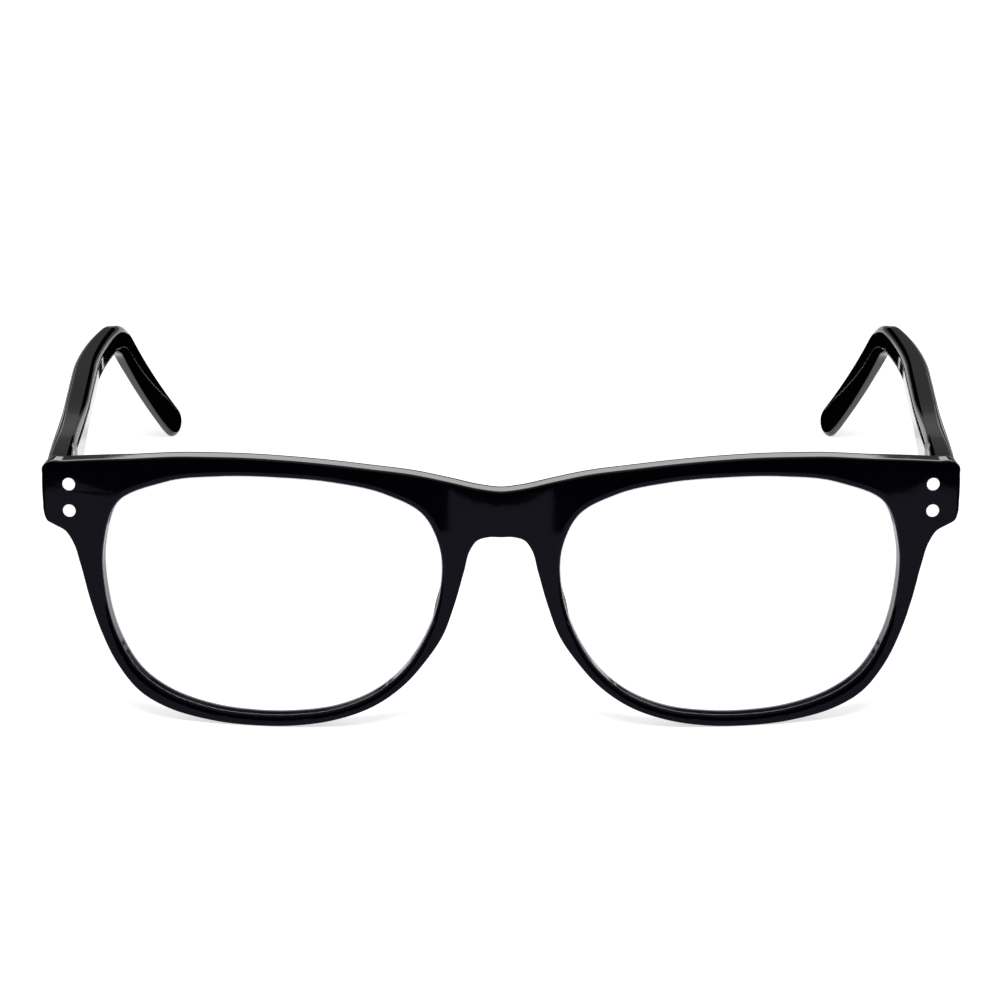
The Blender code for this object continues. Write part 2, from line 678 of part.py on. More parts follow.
def build_side(name, side, front, shapes, materials):
    """Everything at one end of the front: hinge, rivets and temple."""
    place = bent_point((HINGE_PLACE, FRONT_THICKNESS + HINGE_STAND_OFF, HINGE_HEIGHT))
    place.x *= side
    hinge = add_empty(f"hinge_{name}", front, place, (0, 0, side * wrap_angle()))
    fold = add_empty(f"fold_axis_{name}", front, place)
    level = add_empty(f"temple_line_{name}", fold, (0, 0, 0), (-PANTOSCOPIC_TILT, 0, 0))
    add_part(f"hinge_front_leaf_{name}", sided(shapes["front_leaf"], side), hinge, materials["hinge"])
    add_part(f"hinge_screw_{name}", sided(shapes["screw"], side), hinge, materials["hinge"])
    back = -HINGE_STAND_OFF - FRONT_THICKNESS
    for row, rise in zip(("upper", "lower"), FRONT_RIVET_RISES):
        pin = rivet(FRONT_THICKNESS - LET_IN_CLEARANCE)
        pin.transform(Matrix.Translation((FRONT_RIVET_OUTSET, back, rise)))
        add_part(f"front_rivet_{name}_{row}", sided(pin, side), hinge, materials["rivet"])
    add_part(f"hinge_temple_leaf_{name}", sided(shapes["temple_leaf"], side), fold, materials["hinge"])
    for row, rise in (("upper", TEMPLE_RIVET_RISE), ("lower", -TEMPLE_RIVET_RISE)):
        pin = on_temple(rivet(TEMPLE_THICKNESS - LET_IN_CLEARANCE), rise)
        add_part(f"temple_rivet_{name}_{row}", sided(pin, side), fold, materials["rivet"])
    add_part(f"temple_{name}", sided(shapes["temple"], side), level, materials["acetate"])
    core = core_tube(CORE_RADIUS, CORE_START, temple_length() - CORE_END_MARGIN)
    add_part(f"temple_core_{name}", sided(core, side), level, materials["hinge"])


def world_points(part):
    return [part.matrix_world @ vert.co for vert in part.data.vertices]


def set_down(root):
    """Rest the model on its rim bottoms and temple tips, centred over the origin."""
    for _ in range(6):
        bpy.context.view_layer.update()
        parts = {part.name: part for part in PARTS.objects if part.type == "MESH"}
        rim = min(world_points(parts["front_frame"]), key=lambda p: p.z)
        tip = min(world_points(parts["temple_left"]), key=lambda p: p.z)
        root.rotation_euler.x -= math.atan2(tip.z - rim.z, tip.y - rim.y)
    bpy.context.view_layer.update()
    points = [point for part in parts.values() for point in world_points(part)]
    root.location.y -= (min(p.y for p in points) + max(p.y for p in points)) / 2
    root.location.z -= min(p.z for p in points)
    bpy.context.view_layer.update()


clear_scene()
PARTS = make_collection("eyeglasses")
SCRATCH = make_collection("cutters")

MATERIALS = {
    "acetate": make_material("black_acetate", (0.006, 0.006, 0.008), 0.12),
    "lens": make_material("clear_lens", (0.95, 0.97, 0.98), 0.02),
    "hinge": make_material("nickel_silver", (0.66, 0.66, 0.64), 0.3, 1.0),
    "rivet": make_material("polished_steel", (0.86, 0.86, 0.86), 0.15, 1.0),
}
MATERIALS["lens"].node_tree.nodes["Principled BSDF"].inputs["Transmission Weight"].default_value = 1.0

SHAPES = {
    "front_leaf": make_front_leaf(),
    "temple_leaf": make_temple_leaf(),
    "screw": make_screw(),
    "temple": make_temple(),
}
LENS = bent(lens_blank(opening_loop()))
PAD = make_nose_pad()

ROOT = add_empty("resting_place", None)
FRONT = add_empty("front_tilt", ROOT, (0, 0, 0), (PANTOSCOPIC_TILT, 0, 0))
add_part("front_frame", make_front(), FRONT, MATERIALS["acetate"])
for SIDE_NAME, SIDE in (("left", 1), ("right", -1)):
    add_part(f"lens_{SIDE_NAME}", sided(LENS, SIDE), FRONT, MATERIALS["lens"])
    add_part(f"nose_pad_{SIDE_NAME}", sided(PAD, SIDE), FRONT, MATERIALS["acetate"])
    build_side(SIDE_NAME, SIDE, FRONT, SHAPES, MATERIALS)
set_down(ROOT)
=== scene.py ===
"""Black acetate eyeglasses standing open on a white table, under soft studio light.

Lengths are metres.  A flat piece is drawn in X and Z, bent to the front's face
form and then placed, so each finished piece has its place in its mesh.
"""

import json
import math

import bmesh
import bpy
from mathutils import Matrix, Vector


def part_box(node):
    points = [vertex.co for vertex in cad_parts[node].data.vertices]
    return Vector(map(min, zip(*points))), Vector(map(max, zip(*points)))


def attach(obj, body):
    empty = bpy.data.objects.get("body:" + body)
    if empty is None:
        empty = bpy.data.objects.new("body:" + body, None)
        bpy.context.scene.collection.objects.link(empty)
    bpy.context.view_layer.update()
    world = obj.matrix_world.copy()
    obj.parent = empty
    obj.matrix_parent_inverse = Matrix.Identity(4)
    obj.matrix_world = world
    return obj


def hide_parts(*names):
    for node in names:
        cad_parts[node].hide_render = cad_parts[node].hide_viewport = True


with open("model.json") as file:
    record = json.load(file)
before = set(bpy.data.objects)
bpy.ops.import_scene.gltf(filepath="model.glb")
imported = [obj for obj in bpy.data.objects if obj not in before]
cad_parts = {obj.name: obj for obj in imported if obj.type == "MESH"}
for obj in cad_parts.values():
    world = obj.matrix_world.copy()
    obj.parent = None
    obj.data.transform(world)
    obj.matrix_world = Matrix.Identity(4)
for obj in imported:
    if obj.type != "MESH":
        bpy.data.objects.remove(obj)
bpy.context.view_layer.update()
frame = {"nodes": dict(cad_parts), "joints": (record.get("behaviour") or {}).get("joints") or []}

MM = 0.001

# The front.
FRONT_WIDTH = 141.0 * MM
FRONT_HEIGHT = 43.0 * MM
FRONT_THICKNESS = 3.2 * MM
FRONT_EDGES = (0.35 * MM, 0.06 * MM, 0.9 * MM, 0.4 * MM)
FACE_FORM_RADIUS = 330.0 * MM
FACE_FORM_HALF_SPAN = 0.4113 * FRONT_WIDTH
RIM_CROWN_RADIUS = 200.0 * MM
RIM_CROWN_CENTRE = 0.465 * FRONT_HEIGHT
RIM_CROWN_FADE = (0.3404 * FRONT_WIDTH, FACE_FORM_HALF_SPAN)
PANTOSCOPIC_TILT = math.radians(3.0)

# The lenses.
LENS_THICKNESS = 2.0 * MM
LENS_BEVEL = 0.6 * MM
LENS_SEAT = 0.45 * MM

# The bonded nose pads.
PAD_LENGTH = 12.0 * MM
PAD_WIDTH = 2.6 * MM
PAD_DEPTH = 3.0 * MM
PAD_CENTRE = (0.0617 * FRONT_WIDTH, 0.472 * FRONT_HEIGHT)
PAD_SLANT = math.radians(14.0)

# The hinges.
HINGE_PLACE = 0.4596 * FRONT_WIDTH
HINGE_HEIGHT = 0.8372 * FRONT_HEIGHT
KNUCKLE_COUNT = 5
KNUCKLE_LENGTH = 1.5 * MM
KNUCKLE_GAP = 0.08 * MM
KNUCKLE_RADIUS = 1.6 * MM
HINGE_STAND_OFF = 1.9 * MM
LEAF_THICKNESS = 0.8 * MM
FRONT_LEAF_REACH = (-2.4 * MM, 3.5 * MM)
TEMPLE_LEAF_REACH = (-1.0 * MM, 10.0 * MM)
LEAF_EDGE = 0.12 * MM
WEB_HALF_WIDTH = 1.2 * MM
LET_IN_CLEARANCE = 0.06 * MM
SCREW_RADIUS = 0.7 * MM
SCREW_HEAD_RADIUS = 1.25 * MM
SCREW_HEAD_HEIGHT = 0.6 * MM
SCREW_SLOT = 0.35 * MM

# The rivets.
RIVET_HEAD_RADIUS = 1.0 * MM
RIVET_HEAD_DEPTH = 0.7 * MM
RIVET_PROUD = 0.12 * MM
RIVET_CLEARANCE = 0.04 * MM
FRONT_RIVET_OUTSET = 1.45 * MM
FRONT_RIVET_RISES = (2.1 * MM, -2.15 * MM)
TEMPLE_RIVET_SETBACK = 7.0 * MM
TEMPLE_RIVET_RISE = 2.4 * MM

# The temples.
TEMPLE_THICKNESS = 4.1 * MM
TEMPLE_TIP_THICKNESS = 2.4 * MM
TEMPLE_EDGE = 1.15 * MM
TEMPLE_STRAIGHT = 90.9 * MM
TEMPLE_BEND_RADIUS = 15.0 * MM
TEMPLE_BEND_ANGLE = math.radians(41.7)
TEMPLE_TIP_LENGTH = 27.6 * MM
TEMPLE_FRONT_HEIGHT = 9.4 * MM
TEMPLE_WAIST_HEIGHT = 4.6 * MM
TEMPLE_TIP_HEIGHT = 4.6 * MM
TEMPLE_TAPER_LENGTH = 45.0 * MM
TEMPLE_SPLAY = math.radians(0.35)
TIP_TURN_IN = 11.6 * MM
TIP_TURN_START = 66.0 * MM
BUTT_GAP = 0.12 * MM
TIP_ROUND_LENGTH = 2.5 * MM
TIP_ROUND_SHARE = 0.8
OVAL_START = 80.0 * MM
TIP_OVAL = 0.6

# How finely the pieces are made.
OUTLINE_STEPS = 8
OPENING_STEPS = 10
STATION_SPACING = 1.5 * MM
BEND_STEP = 1.5 * MM
OVAL_STEP = 0.8 * MM
EDGE_SEGMENTS = 4
TEMPLE_SEGMENTS = 8
ROUND = 48
WELD = 0.001 * MM
FLAT = 0.999
SHADING_MARGIN = 0.12 * MM

# The wearer's left half of the outline, from the middle of the brow round to
# the nose arch, in millimetres from the middle and up from the bottom of the
# rims.  The arch's top closes it.
OUTLINE_WIDTH = 141.0
OUTLINE_HEIGHT = 42.8
ARCH_TOP = (0.0, 31.4)
OUTLINE = [
    (0.0, 38.4), (3.1, 38.75), (7.7, 39.75), (13.0, 40.8), (20.0, 41.6), (30.0, 42.45),
    (40.0, 42.8), (48.0, 42.65), (56.0, 42.35), (63.0, 41.8), (67.5, 41.35), (69.6, 41.15),
    (70.4, 40.5), (70.5, 39.0), (70.45, 35.0), (70.3, 33.0), (69.85, 31.85), (68.9, 31.3),
    (67.0, 30.3), (65.85, 28.55), (64.8, 25.2), (63.4, 19.6), (61.7, 14.4), (59.2, 9.2),
    (55.8, 5.0), (51.0, 2.15), (45.0, 0.6), (38.0, 0.0), (31.5, 0.25), (25.5, 1.4),
    (19.6, 3.8), (14.6, 7.7), (11.5, 11.5), (9.0, 15.4), (7.1, 20.6), (5.6, 26.0),
    (4.6, 29.5), (3.6, 30.85), (1.9, 31.4),
]

# The wearer's left lens opening, anticlockwise from its nasal side.
OPENING = [
    (9.35, 22.4), (11.4, 15.6), (14.8, 9.95), (19.4, 5.8), (25.2, 3.1), (32.0, 1.9),
    (38.5, 1.75), (45.0, 2.5), (51.0, 4.5), (55.8, 8.0), (59.2, 13.6), (61.0, 20.6),
    (61.2, 28.2), (58.8, 35.3), (51.6, 38.6), (43.0, 39.8), (34.0, 39.95), (25.5, 39.4),
    (17.6, 37.75), (11.9, 34.7), (9.35, 29.4),
]

# Camera and stage.
CAMERA_DISTANCE = 0.95
CAMERA_RISE = math.radians(21.3)
CAMERA_LENS_MM = 225.8
CAMERA_SHIFT = (-0.001, 0.0305)
AIM_HEIGHT = 33.3 * MM
FLOOR_GLOW = 0.66
ROOM_LIGHT = 0.35
ROOM_IN_REFLECTIONS = 0.2
DISC_RADIUS = 0.126
DISC_CENTRE_BACK = -0.137
DIM_CARD = 0.36
DIM_COLOUR = (0.9, 0.83, 1.15)
KEY_WATTS = 5.2
KEY_DISTANCE = 0.9
KEY_RISE = math.radians(52)


# ---------------------------------------------------------------- outlines

def stretched(points):
    """Outline points in metres, stretched to the front's width and height."""
    wide = FRONT_WIDTH / OUTLINE_WIDTH
    tall = FRONT_HEIGHT / OUTLINE_HEIGHT
    return [(x * wide, y * tall) for x, y in points]


def smooth_loop(points, steps):
    """Points on a closed curve through the given points, spaced by chord length."""
    count = len(points)
    knots = [Vector(point) for point in points]
    chords = [(knots[(i + 1) % count] - knots[i]).length for i in range(count)]
    tangents = []
    for i in range(count):
        before, after = chords[i - 1], chords[i]
        slope_before = (knots[i] - knots[i - 1]) / before
        slope_after = (knots[(i + 1) % count] - knots[i]) / after
        tangents.append((slope_before * after + slope_after * before) / (before + after))
    result = []
    for i in range(count):
        start, end = knots[i], knots[(i + 1) % count]
        for step in range(steps):
            t = step / steps
            blend = t * t * (3 - 2 * t)
            pull_start = tangents[i] * (t * (1 - t) ** 2 * chords[i])
            pull_end = tangents[(i + 1) % count] * (t * t * (1 - t) * chords[i])
            result.append(start.lerp(end, blend) + pull_start - pull_end)
    return result


def front_loop():
    left = stretched(OUTLINE)
    right = [(-x, y) for x, y in reversed(left) if x > 0]
    return smooth_loop(left + stretched([ARCH_TOP]) + right, OUTLINE_STEPS)


def opening_loop(side):
    loop = smooth_loop(stretched(OPENING), OPENING_STEPS)
    return [Vector((side * p.x, p.y)) for p in loop]


def spread_loop(loop, distance):
    """The loop moved outwards by a distance all the way round."""
    area = sum(a.x * b.y - b.x * a.y for a, b in zip(loop, loop[1:] + loop[:1]))
    turn = math.copysign(1.0, area)
    result = []
    for i, point in enumerate(loop):
        along = (loop[(i + 1) % len(loop)] - loop[i - 1]).normalized()
        result.append(point + Vector((along.y, -along.x)) * distance * turn)
    return result


def bent_point(point):
    """Where a point of the flat front lies once the front has its face form."""
    across, depth, height = point
    start, end = RIM_CROWN_FADE
    fade = min(max((abs(across) - start) / (end - start), 0.0), 1.0)
    crown = (height - RIM_CROWN_CENTRE) ** 2 / (2 * RIM_CROWN_RADIUS)
    depth += crown * (1 - fade * fade * (3 - 2 * fade))
    angle = min(abs(across), FACE_FORM_HALF_SPAN) / FACE_FORM_RADIUS
    straight = max(abs(across) - FACE_FORM_HALF_SPAN, 0.0)
    radius = FACE_FORM_RADIUS - depth
    x = radius * math.sin(angle) + straight * math.cos(angle)
    y = FACE_FORM_RADIUS - radius * math.cos(angle) + straight * math.sin(angle)
    return Vector((math.copysign(x, across), y, height))


# ---------------------------------------------------------------- mesh tools

def flat_plate(loops, thickness, edges, segments):
    """A plate in X and Z, centred on Y = 0, with its long edges rounded or bevelled.

    The edges are the bevel's width on the front and back of the outside, and on the
    front and back of the openings.  Loops beside them keep the flats' shading flat.
    """
    bm = bmesh.new()
    for loop in loops:
        verts = [bm.verts.new((p[0], -thickness / 2, p[1])) for p in loop]
        for a, b in zip(verts, verts[1:] + verts[:1]):
            bm.edges.new((a, b))
    bmesh.ops.triangle_fill(bm, use_beauty=True, use_dissolve=False, edges=bm.edges[:])
    raised = bmesh.ops.extrude_face_region(bm, geom=bm.faces[:], use_keep_orig=True)["geom"]
    moved = [item for item in raised if isinstance(item, bmesh.types.BMVert)]
    bmesh.ops.translate(bm, verts=moved, vec=(0, thickness, 0))
    bmesh.ops.recalc_face_normals(bm, faces=bm.faces)
    for (outside, front), width in zip(((True, True), (True, False), (False, True), (False, False)), edges):
        rounded(bm, lambda e: on_outside(e, loops[0]) == outside and (e.verts[0].co.y < 0) == front,
                width, segments)
    bmesh.ops.dissolve_limit(bm, angle_limit=math.radians(0.05), verts=bm.verts, edges=bm.edges)
    for place in (max(edges[0], edges[2]) - thickness / 2, thickness / 2 - max(edges[1], edges[3])):
        margin = math.copysign(SHADING_MARGIN, -place)
        bmesh.ops.bisect_plane(bm, geom=bm.verts[:] + bm.edges[:] + bm.faces[:], plane_no=(0, 1, 0),
                               plane_co=(0, place + margin, 0), dist=WELD / 10)
    flats = [f for f in bm.faces if abs(f.normal.y) > FLAT]
    bmesh.ops.inset_region(bm, faces=flats, thickness=SHADING_MARGIN, use_boundary=True,
                           use_even_offset=True)
    return bm


def on_outside(edge, loop):
    """Whether an edge lies on the outer loop."""
    place = edge.verts[0].co
    return min((place.x - p[0]) ** 2 + (place.z - p[1]) ** 2 for p in loop) < WELD ** 2


def rounded(bm, wanted, width, segments):
    """Round the wanted ones of the long edges that a flat plate still has."""
    long_edges = [e for e in bm.edges if e.calc_face_angle(0) > math.radians(80)
                  and abs(e.verts[0].co.y - e.verts[1].co.y) < WELD and wanted(e)]
    if long_edges:
        bmesh.ops.bevel(bm, geom=long_edges, offset=width, offset_type="OFFSET", affect="EDGES",
                        segments=segments, profile=0.5, material=-1)


def slice_up(bm, axis, low, high, step):
    """Cut the mesh across at even steps, so that it can bend."""
    count = max(int(round((high - low) / step)), 1)
    for i in range(count + 1):
        place = Vector((0, 0, 0))
        place[axis] = low + (high - low) * i / count
        normal = Vector((0, 0, 0))
        normal[axis] = 1.0
        everything = bm.verts[:] + bm.edges[:] + bm.faces[:]
        bmesh.ops.bisect_plane(bm, geom=everything, plane_co=place, plane_no=normal, dist=WELD / 10)


def bend_to_face_form(bm):
    slice_up(bm, 0, -FACE_FORM_HALF_SPAN, FACE_FORM_HALF_SPAN, BEND_STEP)
    slice_up(bm, 2, 0.0, FRONT_HEIGHT, BEND_STEP)
    for vert in bm.verts:
        vert.co = bent_point(vert.co)


def turned(profile, steps=ROUND):
    """A solid of revolution round Z: the profile runs (radius, height) from its top down."""
    bm = bmesh.new()
    verts = [bm.verts.new((radius, 0, height)) for radius, height in profile]
    edges = [bm.edges.new(pair) for pair in zip(verts, verts[1:])]
    bmesh.ops.spin(bm, geom=verts + edges, cent=(0, 0, 0), axis=(0, 0, 1), angle=2 * math.pi,
                   steps=steps, use_merge=True)
    bmesh.ops.remove_doubles(bm, verts=bm.verts, dist=WELD)
    bmesh.ops.recalc_face_normals(bm, faces=bm.faces)
    return bm


def block(low, high, edge=0.0):
    bm = bmesh.new()
    bmesh.ops.create_cube(bm, size=1.0)
    low, high = Vector(low), Vector(high)
    bmesh.ops.scale(bm, verts=bm.verts, vec=high - low)
    bmesh.ops.translate(bm, verts=bm.verts, vec=(low + high) / 2)
    if edge > 0:
        bmesh.ops.bevel(bm, geom=bm.edges[:], offset=edge, offset_type="OFFSET", affect="EDGES",
                        segments=2, profile=0.5, material=-1)
    return bm


def placed(bm, *moves):
    for move in moves:
        bm.transform(move)
    return bm


def gathered(pieces):
    """Several meshes as one."""
    whole = bmesh.new()
    for piece in pieces:
        part = bpy.data.meshes.new("part")
        piece.to_mesh(part)
        piece.free()
        whole.from_mesh(part)
        bpy.data.meshes.remove(part)
    return whole


def cut(bm, tools, operation="DIFFERENCE"):
    """The mesh with each tool cut from it, or joined to it."""
    for tool in tools:
        body = as_object("body", bm)
        cutter = as_object("cutter", tool)
        boolean = body.modifiers.new("cut", "BOOLEAN")
        boolean.operation = operation
        boolean.object = cutter
        result = bpy.data.meshes.new_from_object(body.evaluated_get(bpy.context.evaluated_depsgraph_get()))
        bm = bmesh.new()
        bm.from_mesh(result)
        for thing in (body, cutter):
            old = thing.data
            bpy.data.objects.remove(thing)
            bpy.data.meshes.remove(old)
        bpy.data.meshes.remove(result)
    return bm


def as_object(name, bm):
    mesh = bpy.data.meshes.new(name)
    bm.to_mesh(mesh)
    bm.free()
    thing = bpy.data.objects.new(name, mesh)
    bpy.context.scene.collection.objects.link(thing)
    return thing


def finished(name, bm, move, material, side=1, sharp=35.0):
    """A piece at its place, smoothed, and mirrored for the wearer's right side."""
    bm.transform(move)
    if side < 0:
        bm.transform(Matrix.Scale(-1, 4, (1, 0, 0)))
    bmesh.ops.triangulate(bm, faces=[f for f in bm.faces if len(f.verts) > 4])
    bmesh.ops.recalc_face_normals(bm, faces=bm.faces)
    thing = as_object(name, bm)
    thing.data.shade_smooth()
    thing.data.set_sharp_from_angle(angle=math.radians(sharp))
    thing.data.materials.append(material)
    return thing


# ---------------------------------------------------------------- materials

class Value:
    """A node socket that takes part in arithmetic."""

    def __init__(self, shader, socket):
        self.shader = shader
        self.socket = socket

    def math(self, operation, other, swap=False):
        pair = (other, self) if swap else (self, other)
        return self.shader.node("ShaderNodeMath", {"operation": operation}, {0: pair[0], 1: pair[1]})

    def __add__(self, other):
        return self.math("ADD", other)

    def __sub__(self, other):
        return self.math("SUBTRACT", other)

    def __rsub__(self, other):
        return self.math("SUBTRACT", other, swap=True)

    def __mul__(self, other):
        return self.math("MULTIPLY", other)

    def __truediv__(self, other):
        return self.math("DIVIDE", other)

    def __pow__(self, other):
        return self.math("POWER", other)

    __radd__ = __add__
    __rmul__ = __mul__


class Shader:
    """One material and its nodes."""

    def __init__(self, name):
        self.material = bpy.data.materials.new(name)
        self.material.use_nodes = True
        self.tree = self.material.node_tree
        self.surface = self.tree.nodes["Principled BSDF"]
        self.place = self.node("ShaderNodeTexCoord", {}, {}, "Object")

    def node(self, kind, settings, inputs, output=0):
        made = self.tree.nodes.new(kind)
        for key, value in settings.items():
            if key == "stops":
                for stop, (position, colour) in zip(ramp_stops(made, len(value)), value):
                    stop.position = position
                    stop.color = (*colour, 1.0)
            else:
                setattr(made, key, value)
        for key, value in inputs.items():
            self.feed(made.inputs[key], value)
        return Value(self, made.outputs[output])

    def feed(self, socket, value):
        if isinstance(value, Value):
            self.tree.links.new(value.socket, socket)
        elif socket.type == "RGBA" and len(value) == 3:
            socket.default_value = (*value, 1.0)
        else:
            socket.default_value = value

    def finish(self, **inputs):
        for key, value in inputs.items():
            self.feed(self.surface.inputs[key.replace("_", " ")], value)
        return self.material

    def noise(self, size, detail=2.0, stretch=(1, 1, 1)):
        """Noise with features about the given size in metres, from 0 to 1."""
        spot = self.node("ShaderNodeMapping", {}, {"Vector": self.place, "Scale": stretch})
        return self.node("ShaderNodeTexNoise", {}, {"Vector": spot, "Scale": 1 / size, "Detail": detail})

    def band(self, value, low, high):
        """0 below low, 1 above high, smooth between."""
        settings = {"interpolation_type": "SMOOTHSTEP"}
        return self.node("ShaderNodeMapRange", settings,
                         {"Value": value, "From Min": low, "From Max": high})

    def blend(self, share, first, second):
        settings = {"data_type": "RGBA"}
        made = self.tree.nodes.new("ShaderNodeMix")
        made.data_type = "RGBA"
        self.feed(made.inputs["Factor"], share)
        self.feed(made.inputs[6], first)
        self.feed(made.inputs[7], second)
        return Value(self, made.outputs[2])

    def bump(self, height, strength, distance):
        return self.node("ShaderNodeBump", {}, {"Height": height, "Strength": strength,
                                                "Distance": distance})


def ramp_stops(ramp, count):
    elements = ramp.color_ramp.elements
    while len(elements) < count:
        elements.new(0.5)
    return elements


def acetate():
    """Polished black cellulose acetate: faint clouding, polish marks and fine scratches."""
    s = Shader("black_acetate")
    cloud = s.noise(9 * MM, 3.0)
    polish = s.noise(2.2 * MM, 2.0)
    scratch = s.noise(0.25 * MM, 2.0, (0.04, 1.0, 1.0))
    marks = s.band(scratch, 0.66, 0.74)
    colour = s.blend(cloud, (0.0002, 0.0002, 0.0006), (0.0008, 0.0007, 0.0016))
    rough = 0.035 + 0.03 * polish + 0.05 * marks
    height = polish * 0.8 + s.noise(14 * MM, 1.0) * 3.0
    normal = s.bump(height, 0.05, 0.12 * MM)
    return s.finish(Base_Color=colour, Roughness=rough, Normal=normal, Specular_IOR_Level=0.3)


def clear_lens():
    """A clear, hard-coated pane, with faint wiping marks that catch the light."""
    s = Shader("clear_lens")
    smear = s.band(s.noise(6 * MM, 3.0, (1.0, 1.0, 0.35)), 0.45, 0.8)
    fresnel = s.node("ShaderNodeFresnel", {}, {"IOR": 1.5})
    veil = 0.012 + 0.010 * smear + fresnel * 0.3
    return s.finish(Base_Color=(0.95, 0.95, 1.0), Metallic=1.0, Roughness=0.02 + 0.05 * smear, Alpha=veil)


def ground_lens_edge():
    """The finely ground bevel round a lens. Its pale colour is partly the frosted edge's own white and
    partly painted reflection: the purple tint stands in for the light line that the coated lens reflects.
    """
    s = Shader("ground_lens_edge")
    grain = s.noise(0.12 * MM, 2.0)
    # partly own colour, partly painted reflection: the purple tint stands in for the coated lens's
    # reflected light line
    colour = s.blend(grain, (0.70, 0.66, 0.82), (0.90, 0.88, 0.97))
    return s.finish(Base_Color=colour, Roughness=0.35 + 0.25 * grain, Alpha=0.35,
                    Normal=s.bump(grain, 0.2, 0.02 * MM))


def rivet_painted_reflection():
    """Rivet heads painted near white with little metal, a painted reflection of the white room that their
    polished metal would mirror, with a fine turned grain.
    """
    s = Shader("rivet_white_painted_reflection")
    grain = s.noise(0.15 * MM, 2.0, (1.0, 0.2, 1.0))
    wear = s.noise(1.1 * MM, 2.0)
    # painted reflection: the near-white colour stands in for the white room mirrored by polished rivet
    # heads; the wear noise varies it a little
    colour = s.blend(wear, (0.93, 0.93, 0.93), (1.0, 1.0, 1.0))
    return s.finish(Base_Color=colour, Metallic=0.1, Roughness=0.35 + 0.12 * grain,
                    Normal=s.bump(grain, 0.05, 0.01 * MM))


def nickel_silver():
    """Satin hinge metal, brushed along the hinge's height."""
    s = Shader("satin_nickel_silver")
    brushed = s.noise(0.12 * MM, 3.0, (1.0, 1.0, 0.08))
    tarnish = s.noise(1.6 * MM, 3.0)
    colour = s.blend(s.band(tarnish, 0.35, 0.75), (0.74, 0.73, 0.70), (0.58, 0.56, 0.52))
    return s.finish(Base_Color=colour, Metallic=1.0, Roughness=0.22 + 0.2 * brushed,
                    Normal=s.bump(brushed, 0.15, 0.02 * MM))


def table_white():
    """Matt white board, lit from within a little so that shadows stay soft."""
    s = Shader("white_board")
    grain = s.noise(1.5 * MM, 2.0)
    colour = s.blend(grain, (0.80, 0.80, 0.80), (0.83, 0.83, 0.83))
    return s.finish(Base_Color=colour, Roughness=0.9, Specular_IOR_Level=0.0,
                    Emission_Color=(1.0, 1.0, 1.0), Emission_Strength=FLOOR_GLOW)


ACETATE = acetate()
LENS = clear_lens()
LENS_EDGE = ground_lens_edge()
RIVET = rivet_painted_reflection()
HINGE = nickel_silver()


# ---------------------------------------------------------------- placing

def joint(name):
    return next(entry for entry in frame["joints"] if entry["name"] == name)


FOLD = joint("left_temple_fold")
PIVOT = Vector(FOLD["pos_m"])
LEAN = -math.atan2(FOLD["axis"][1], FOLD["axis"][2])
WRAP = FACE_FORM_HALF_SPAN / FACE_FORM_RADIUS
HINGE_POINT = bent_point((HINGE_PLACE, FRONT_THICKNESS + HINGE_STAND_OFF, HINGE_HEIGHT))
FRONT_TURN = Matrix.Rotation(LEAN, 4, "X")
FRONT_MOVE = Matrix.Translation(PIVOT - FRONT_TURN @ HINGE_POINT) @ FRONT_TURN
HINGE_MOVE = Matrix.Translation(PIVOT) @ FRONT_TURN @ Matrix.Rotation(WRAP, 4, "Z")
FOLD_MOVE = Matrix.Translation(PIVOT) @ FRONT_TURN
TEMPLE_MOVE = FOLD_MOVE @ Matrix.Rotation(-PANTOSCOPIC_TILT, 4, "X")
STACK_HALF = (KNUCKLE_COUNT * KNUCKLE_LENGTH + (KNUCKLE_COUNT - 1) * KNUCKLE_GAP) / 2
Y_UP = Matrix.Rotation(math.radians(90), 4, "X")
FACING_OUT = Matrix.Rotation(math.radians(90), 4, "Y")


# ---------------------------------------------------------------- front pieces

def rivet_seat(length):
    head = RIVET_HEAD_RADIUS + RIVET_CLEARANCE
    return turned([(0, length), (head, length), (head, -RIVET_HEAD_DEPTH), (0, -RIVET_HEAD_DEPTH)])


def rivet_head():
    """A rivet's domed head, its seat at Z = 0."""
    head = RIVET_HEAD_RADIUS
    rise = [(head * math.sin(a), RIVET_PROUD * math.cos(a) ** 0.6)
            for a in (math.radians(9 * i) for i in range(1, 10))]
    profile = [(0, RIVET_PROUD)] + rise + [(head, 0), (head, -RIVET_HEAD_DEPTH), (0, -RIVET_HEAD_DEPTH)]
    return turned(profile)


def make_front():
    loops = [front_loop(), opening_loop(1), opening_loop(-1)]
    plate = flat_plate(loops, FRONT_THICKNESS, FRONT_EDGES, EDGE_SEGMENTS)
    placed(plate, Matrix.Translation((0, FRONT_THICKNESS / 2, 0)))
    half = STACK_HALF + LET_IN_CLEARANCE
    tools = []
    for side in (-1, 1):
        low = (HINGE_PLACE + FRONT_LEAF_REACH[0] - LET_IN_CLEARANCE,
               FRONT_THICKNESS - LEAF_THICKNESS - LET_IN_CLEARANCE, HINGE_HEIGHT - half)
        high = (HINGE_PLACE + FRONT_LEAF_REACH[1] + LET_IN_CLEARANCE,
                FRONT_THICKNESS * 2, HINGE_HEIGHT + half)
        recess = [block(low, high)]
        for rise in FRONT_RIVET_RISES:
            place = (HINGE_PLACE + FRONT_RIVET_OUTSET, 0, HINGE_HEIGHT + rise)
            recess.append(placed(rivet_seat(FRONT_THICKNESS), Y_UP, Matrix.Translation(place)))
        for tool in recess:
            if side < 0:
                tool.transform(Matrix.Scale(-1, 4, (1, 0, 0)))
                bmesh.ops.reverse_faces(tool, faces=tool.faces)
            tools.append(tool)
    plate = cut(plate, tools)
    bend_to_face_form(plate)
    front = finished("front", plate, FRONT_MOVE, ACETATE)
    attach(front, "front")
    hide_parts("front_frame")


